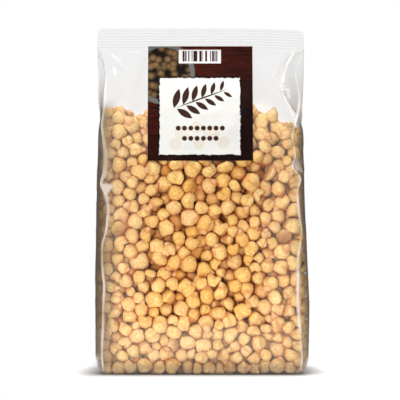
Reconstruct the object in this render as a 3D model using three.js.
// A clear film bag of chickpeas that stands on its flat base: side gussets that open over the
// filled part and fold in above it, a ribbed heat seal along the top, and a label on the front.
// Millimetres, +Z up. The origin is the middle of the base, and the front panel faces -Y.
import * as THREE from "three";

// ---- Driving dimensions ----

const BAG_HEIGHT = 254;
const SEAL_HEIGHT = 15;
const FILL_HEIGHT = 192; // of the chickpeas, where the empty part of the bag begins
const FILL_DROP = 7; // how much lower they lie along the right side
const FILL_SLOPE = [30, 62]; // along X, where their top sinks by that much
const SHOULDER_HEIGHT = 237; // above it the film runs straight to the seal
const BASE_EDGE_RADIUS = 5;
const SEAL_THICKNESS = 1; // without its ribs
const SEAL_CORNER_RADIUS = 4;
const SEAL_RIB_PITCH = 2.3;
const SEAL_RIB_DEPTH = 0.22;
const TOP_DROOP = 2; // how far the top edge sinks towards its right corner
const DROOP_START = 200; // the height where it begins to
const CHICKPEA_PITCH = 10; // middle to middle, where they press against the film
const CHICKPEA_RELIEF = 1.7; // how far each one pushes the film out
const CREASE_RELIEF = [0.3, 0.75]; // the share of it on a crease, and one mesh column beside it

const LABEL = {
  width: 76.8,
  height: 84.6,
  thickness: 0.4,
  middle: -1.3, // along X
  top: BAG_HEIGHT - SEAL_HEIGHT + 1.75, // it laps over the seal's lowest rib
  gap: SEAL_RIB_DEPTH + 0.3, // clear of the film and of that rib
};

// The bag's cross-section at a few heights, each with four creases as its corners.
// shift: of the whole section along X. front, back: half the distance between that panel's creases.
// depth: from the middle plane to the creases. bulge: of the front and back panels, past them.
// left, right: how far the middle of that side's gusset stands out from its creases, or folds in
// below 0. The chickpeas lie higher along the left side, so the left gusset folds in less.
const SECTIONS = [
  { height: 0, shift: 0, front: 71.8, back: 71.8, depth: 20.5, bulge: 0.5, left: 4.8, right: 4.8 },
  { height: 50, shift: 0.2, front: 72.4, back: 72.4, depth: 21.5, bulge: 3.4, left: 5, right: 5 },
  { height: 110, shift: -0.8, front: 71.6, back: 72, depth: 21.5, bulge: 3.6, left: 4, right: 4 },
  { height: 160, shift: -1.4, front: 70.2, back: 72, depth: 20, bulge: 3, left: 3, right: 3.6 },
  { height: 184, shift: -1, front: 70.4, back: 74.2, depth: 18, bulge: 2.4, left: 1.5, right: 0.5 },
  { height: 205, shift: -0.7, front: 71.2, back: 75.5, depth: 13.2, bulge: 2, left: -1.5, right: -11 },
  { height: 222, shift: -0.7, front: 72.4, back: 75.5, depth: 7.2, bulge: 1.2, left: -2.5, right: -14 },
  {
    height: SHOULDER_HEIGHT, shift: -0.9, front: 75.2, back: 75.7,
    depth: 1.3, bulge: 0.2, left: -2, right: -8,
  },
  ...[BAG_HEIGHT - SEAL_HEIGHT, BAG_HEIGHT].map((height) => {
    const depth = SEAL_THICKNESS / 2;
    return { height, shift: -0.9, front: 76, back: 76, depth, bulge: 0, left: 0, right: 0 };
  }),
];
const PANEL_ROUNDNESS = 2.4; // the exponent of a panel's bulge across its width
const GUSSET_ROUNDNESS = 2.2; // where a gusset stands out. It folds in along a sharp line

// How many steps the mesh takes across each panel and along each stretch of the height
const PANEL_STEPS = 28;
const GUSSET_STEPS = 10;
const BASE_STEPS = 3;
const EMPTY_STEPS = 7;
const CORNER_STEPS = 3;
const LABEL_COLUMNS = 16;

const SEAL_BOTTOM = BAG_HEIGHT - SEAL_HEIGHT;
const COLUMNS = 2 * (PANEL_STEPS + GUSSET_STEPS);

// ---- The bag's form ----

// A smooth curve through one value of the sections: cubic, with the slope at each section
// taken from its two neighbours.
function along(value, height) {
  const last = SECTIONS.length - 1;
  const h = THREE.MathUtils.clamp(height, 0, BAG_HEIGHT);
  let i = 0;
  while (i < last - 1 && SECTIONS[i + 1].height < h) i += 1;
  const slope = (k) => {
    const a = SECTIONS[Math.max(k - 1, 0)];
    const b = SECTIONS[Math.min(k + 1, last)];
    return (b[value] - a[value]) / (b.height - a.height);
  };
  const [low, high] = [SECTIONS[i], SECTIONS[i + 1]];
  const span = high.height - low.height;
  const t = (h - low.height) / span;
  const straight = high[value] - low[value];
  // Next to the flat seal the curve runs straight, so that it can't swing past it.
  const [m0, m1] =
    high.height > SHOULDER_HEIGHT ? [straight, straight] : [slope(i) * span, slope(i + 1) * span];
  return (
    low[value] +
    straight * t * t * (3 - 2 * t) +
    m0 * t * (1 - t) * (1 - t) -
    m1 * t * t * (1 - t)
  );
}

// How far the outline is drawn in at a height, by the rounded edge of the base.
function baseInset(height) {
  const up = Math.max(BASE_EDGE_RADIUS - height, 0);
  return BASE_EDGE_RADIUS - Math.sqrt(BASE_EDGE_RADIUS ** 2 - up ** 2);
}

// The same, by the rounded corners of the seal.
function sealInset(height) {
  const up = Math.max(height - (BAG_HEIGHT - SEAL_CORNER_RADIUS), 0);
  return SEAL_CORNER_RADIUS - Math.sqrt(Math.max(SEAL_CORNER_RADIUS ** 2 - up ** 2, 0));
}

function sectionAt(height) {
  const inset = baseInset(height);
  const corner = sealInset(height);
  return {
    shift: along("shift", height),
    front: along("front", height) - inset - corner,
    back: along("back", height) - inset - corner,
    depth: along("depth", height) - inset,
    bulge: along("bulge", height),
    left: along("left", height),
    right: along("right", height),
  };
}

// The front panel's distance from the middle plane.
function frontDepth(x, height) {
  const s = sectionAt(height);
  const across = Math.min(Math.abs(x - s.shift) / s.front, 1);
  return s.depth + s.bulge * (1 - across ** PANEL_ROUNDNESS);
}

// A panel's place in its section. turn is 0 at its first crease and 1 at its second.
function panelPoint(half, section, turn) {
  const across = 2 * turn - 1;
  const out = section.depth + section.bulge * (1 - Math.abs(across) ** PANEL_ROUNDNESS);
  return [half * across, out];
}

// The same for a gusset, which stands out by that much. turn is 0 at its front crease.
function gussetPoint(standsOut, section, turn) {
  const across = 2 * turn - 1;
  const power = standsOut > 0 ? GUSSET_ROUNDNESS : 1;
  const crease = section.front + (section.back - section.front) * turn;
  return [crease + standsOut * (1 - Math.abs(across) ** power), section.depth * across];
}

// The outline at a height, anticlockwise from the front left crease.
function outlineAt(height) {
  const s = sectionAt(height);
  const ring = [];
  const place = (x, y) => ring.push(new THREE.Vector3(s.shift + x, y, height));
  for (let i = 0; i < PANEL_STEPS; i += 1) {
    const [x, out] = panelPoint(s.front, s, i / PANEL_STEPS);
    place(x, -out);
  }
  for (let i = 0; i < GUSSET_STEPS; i += 1) {
    place(...gussetPoint(s.right, s, i / GUSSET_STEPS));
  }
  for (let i = 0; i < PANEL_STEPS; i += 1) {
    const [x, out] = panelPoint(s.back, s, i / PANEL_STEPS);
    place(-x, out);
  }
  for (let i = 0; i < GUSSET_STEPS; i += 1) {
    const [x, y] = gussetPoint(s.left, s, 1 - i / GUSSET_STEPS);
    place(-x, y);
  }
  return ring;
}

// ---- The chickpeas that press against the film ----

// Numbers from 0 to 1, the same ones each time.
function seeded(seed) {
  let state = seed;
  return () => {
    state = (state * 1664525 + 1013904223) % 4294967296;
    return state / 4294967296;
  };
}

// Staggered rows round the whole bag, each chickpea a little off its place and of its own size.
// around counts mesh columns, so that the pattern closes on itself.
function chickpeas() {
  const random = seeded(7);
  const rise = (CHICKPEA_PITCH * Math.sqrt(3)) / 2;
  const rows = [];
  for (let row = 0; row * rise < FILL_HEIGHT; row += 1) {
    const places = [];
    for (let column = row % 2; column < COLUMNS; column += 2) {
      places.push({
        around: column + 0.5 * (random() - 0.5),
        height: (row + 0.5 + 0.25 * (random() - 0.5)) * rise,
        radius: CHICKPEA_PITCH * (0.5 + 0.14 * random()),
      });
    }
    rows.push(places);
  }
  return { rise, rows };
}

// How far the nearest chickpea pushes the film out, from 0 to 1.
function push(peas, column, height) {
  const row = Math.floor(height / peas.rise);
  let most = 0;
  for (const places of peas.rows.slice(Math.max(row - 1, 0), row + 2)) {
    for (const pea of places) {
      const turn = Math.abs(pea.around - column);
      const across = (Math.min(turn, COLUMNS - turn) * CHICKPEA_PITCH) / 2;
      const reach = Math.hypot(across, pea.height - height) / pea.radius;
      most = Math.max(most, Math.sqrt(Math.max(1 - reach ** 2, 0)));
    }
  }
  return most;
}

// The label is stiff, and it holds the film flat under it.
function underLabel(point) {
  const aside = Math.abs(point.x - LABEL.middle) - LABEL.width / 2;
  const below = LABEL.top - LABEL.height - point.z;
  const outside = Math.max(aside, below, 0);
  return point.y < 0 && outside < CHICKPEA_PITCH / 2;
}

// How much of the relief is left at a column: the film is stiffer along the creases.
function reliefAt(column) {
  const side = PANEL_STEPS + GUSSET_STEPS;
  const turn = column % side;
  const away = Math.min(turn, Math.abs(turn - PANEL_STEPS), side - turn);
  return CHICKPEA_RELIEF * (CREASE_RELIEF[away] ?? 1);
}

function fillHeightAt(x) {
  return FILL_HEIGHT - FILL_DROP * THREE.MathUtils.smoothstep(x, ...FILL_SLOPE);
}

// ---- The bag ----

function rowHeights() {
  const heights = [];
  for (let i = 0; i <= BASE_STEPS; i += 1) {
    heights.push(BASE_EDGE_RADIUS * (1 - Math.cos((i / BASE_STEPS) * (Math.PI / 2))));
  }
  const step = (CHICKPEA_PITCH * Math.sqrt(3)) / 4;
  for (let h = 2 * step; h < FILL_HEIGHT; h += step) heights.push(h);
  const bottom = FILL_HEIGHT + 2;
  for (let i = 0; i < EMPTY_STEPS; i += 1) {
    heights.push(bottom + ((SHOULDER_HEIGHT - bottom) * i) / (EMPTY_STEPS - 1));
  }
  for (let h = SEAL_BOTTOM; h <= BAG_HEIGHT - SEAL_CORNER_RADIUS; h += SEAL_RIB_PITCH / 2) {
    heights.push(h);
  }
  for (let i = 1; i <= CORNER_STEPS; i += 1) {
    const up = Math.sin((i / CORNER_STEPS) * (Math.PI / 2));
    heights.push(BAG_HEIGHT - SEAL_CORNER_RADIUS * (1 - up));
  }
  return heights;
}

// A cross rib stands out of both faces of the seal at every second row.
function ribAt(height) {
  const step = (height - SEAL_BOTTOM) / (SEAL_RIB_PITCH / 2);
  const onRow = Math.abs(step - Math.round(step)) < 0.01;
  return onRow && Math.round(step) % 2 === 0 ? SEAL_RIB_DEPTH : 0;
}

// Closes rings of equal length, one above the other, into one surface that faces out.
function loft(rings) {
  const count = rings[0].length;
  const positions = rings.flatMap((ring) => ring.flatMap((p) => [p.x, p.y, p.z]));
  const indices = [];
  for (let row = 0; row < rings.length - 1; row += 1) {
    for (let i = 0; i < count; i += 1) {
      const [a, b] = [row * count + i, row * count + ((i + 1) % count)];
      // Diagonals lean the other way in every second square, as the chickpeas are staggered.
      if ((row + i) % 2) indices.push(a, b, a + count, b, b + count, a + count);
      else indices.push(a, b, b + count, a, b + count, a + count);
    }
  }
  const flat = (ring) => ring.map((p) => new THREE.Vector2(p.x, p.y));
  const last = (rings.length - 1) * count;
  for (const [a, b, c] of THREE.ShapeUtils.triangulateShape(flat(rings[0]), [])) {
    indices.push(a, c, b);
  }
  for (const [a, b, c] of THREE.ShapeUtils.triangulateShape(flat(rings.at(-1)), [])) {
    indices.push(last + a, last + b, last + c);
  }
  return new THREE.BufferGeometry()
    .setAttribute("position", new THREE.Float32BufferAttribute(positions, 3))
    .setIndex(indices);
}

function bagGeometry() {
  const peas = chickpeas();
  const rings = rowHeights().map((height) => {
    const ring = outlineAt(height);
    const filled = THREE.MathUtils.smoothstep(height, BASE_EDGE_RADIUS, 2 * BASE_EDGE_RADIUS);
    const inSeal = height > SEAL_BOTTOM - 1;
    return ring.map((point, i) => {
      const next = ring[(i + 1) % COLUMNS];
      const before = ring[(i + COLUMNS - 1) % COLUMNS];
      const out = new THREE.Vector3(next.y - before.y, before.x - next.x, 0).normalize();
      const moved = point.clone();
      if (inSeal) moved.y += Math.sign(point.y) * ribAt(height);
      else if (height < fillHeightAt(point.x) && !underLabel(point)) {
        moved.addScaledVector(out, reliefAt(i) * filled * push(peas, i, height));
      }
      const right = Math.max(point.x / SECTIONS.at(-1).front, 0);
      moved.z -= TOP_DROOP * right ** 3 * THREE.MathUtils.smoothstep(height, DROOP_START, BAG_HEIGHT);
      return moved;
    });
  });
  return loft(rings);
}

// ---- The label ----

// A thin sheet bent to the front panel: rows from its foot up, at the bag's own heights, each
// ring running along the face that looks out and back along the face that lies on the film.
function labelGeometry() {
  const foot = LABEL.top - LABEL.height;
  const between = rowHeights().filter((z) => z > foot + 1 && z < LABEL.top - 0.5);
  const rings = [foot, ...between, LABEL.top].map((z) => {
    const [outer, inner] = [[], []];
    for (let column = 0; column <= LABEL_COLUMNS; column += 1) {
      const x = LABEL.middle + LABEL.width * (column / LABEL_COLUMNS - 0.5);
      const back = -frontDepth(x, z) - LABEL.gap;
      outer.push(new THREE.Vector3(x, back - LABEL.thickness, z));
      inner.unshift(new THREE.Vector3(x, back, z));
    }
    return [...outer, ...inner];
  });
  return loft(rings);
}

// ---- The pieces ----

function piece(name, geometry, material) {
  const mesh = new THREE.Mesh(geometry, material);
  mesh.name = name;
  return mesh;
}

const packedChickpeas = new THREE.MeshStandardMaterial({
  color: 0xe1ac64,
  roughness: 0.25,
  metalness: 0,
});
const printedLabel = new THREE.MeshStandardMaterial({
  color: 0x3a1a10,
  roughness: 0.4,
  metalness: 0,
});

const group = new THREE.Group();
group.add(piece("bag", bagGeometry(), packedChickpeas));
group.add(piece("label", labelGeometry(), printedLabel));

export default group;
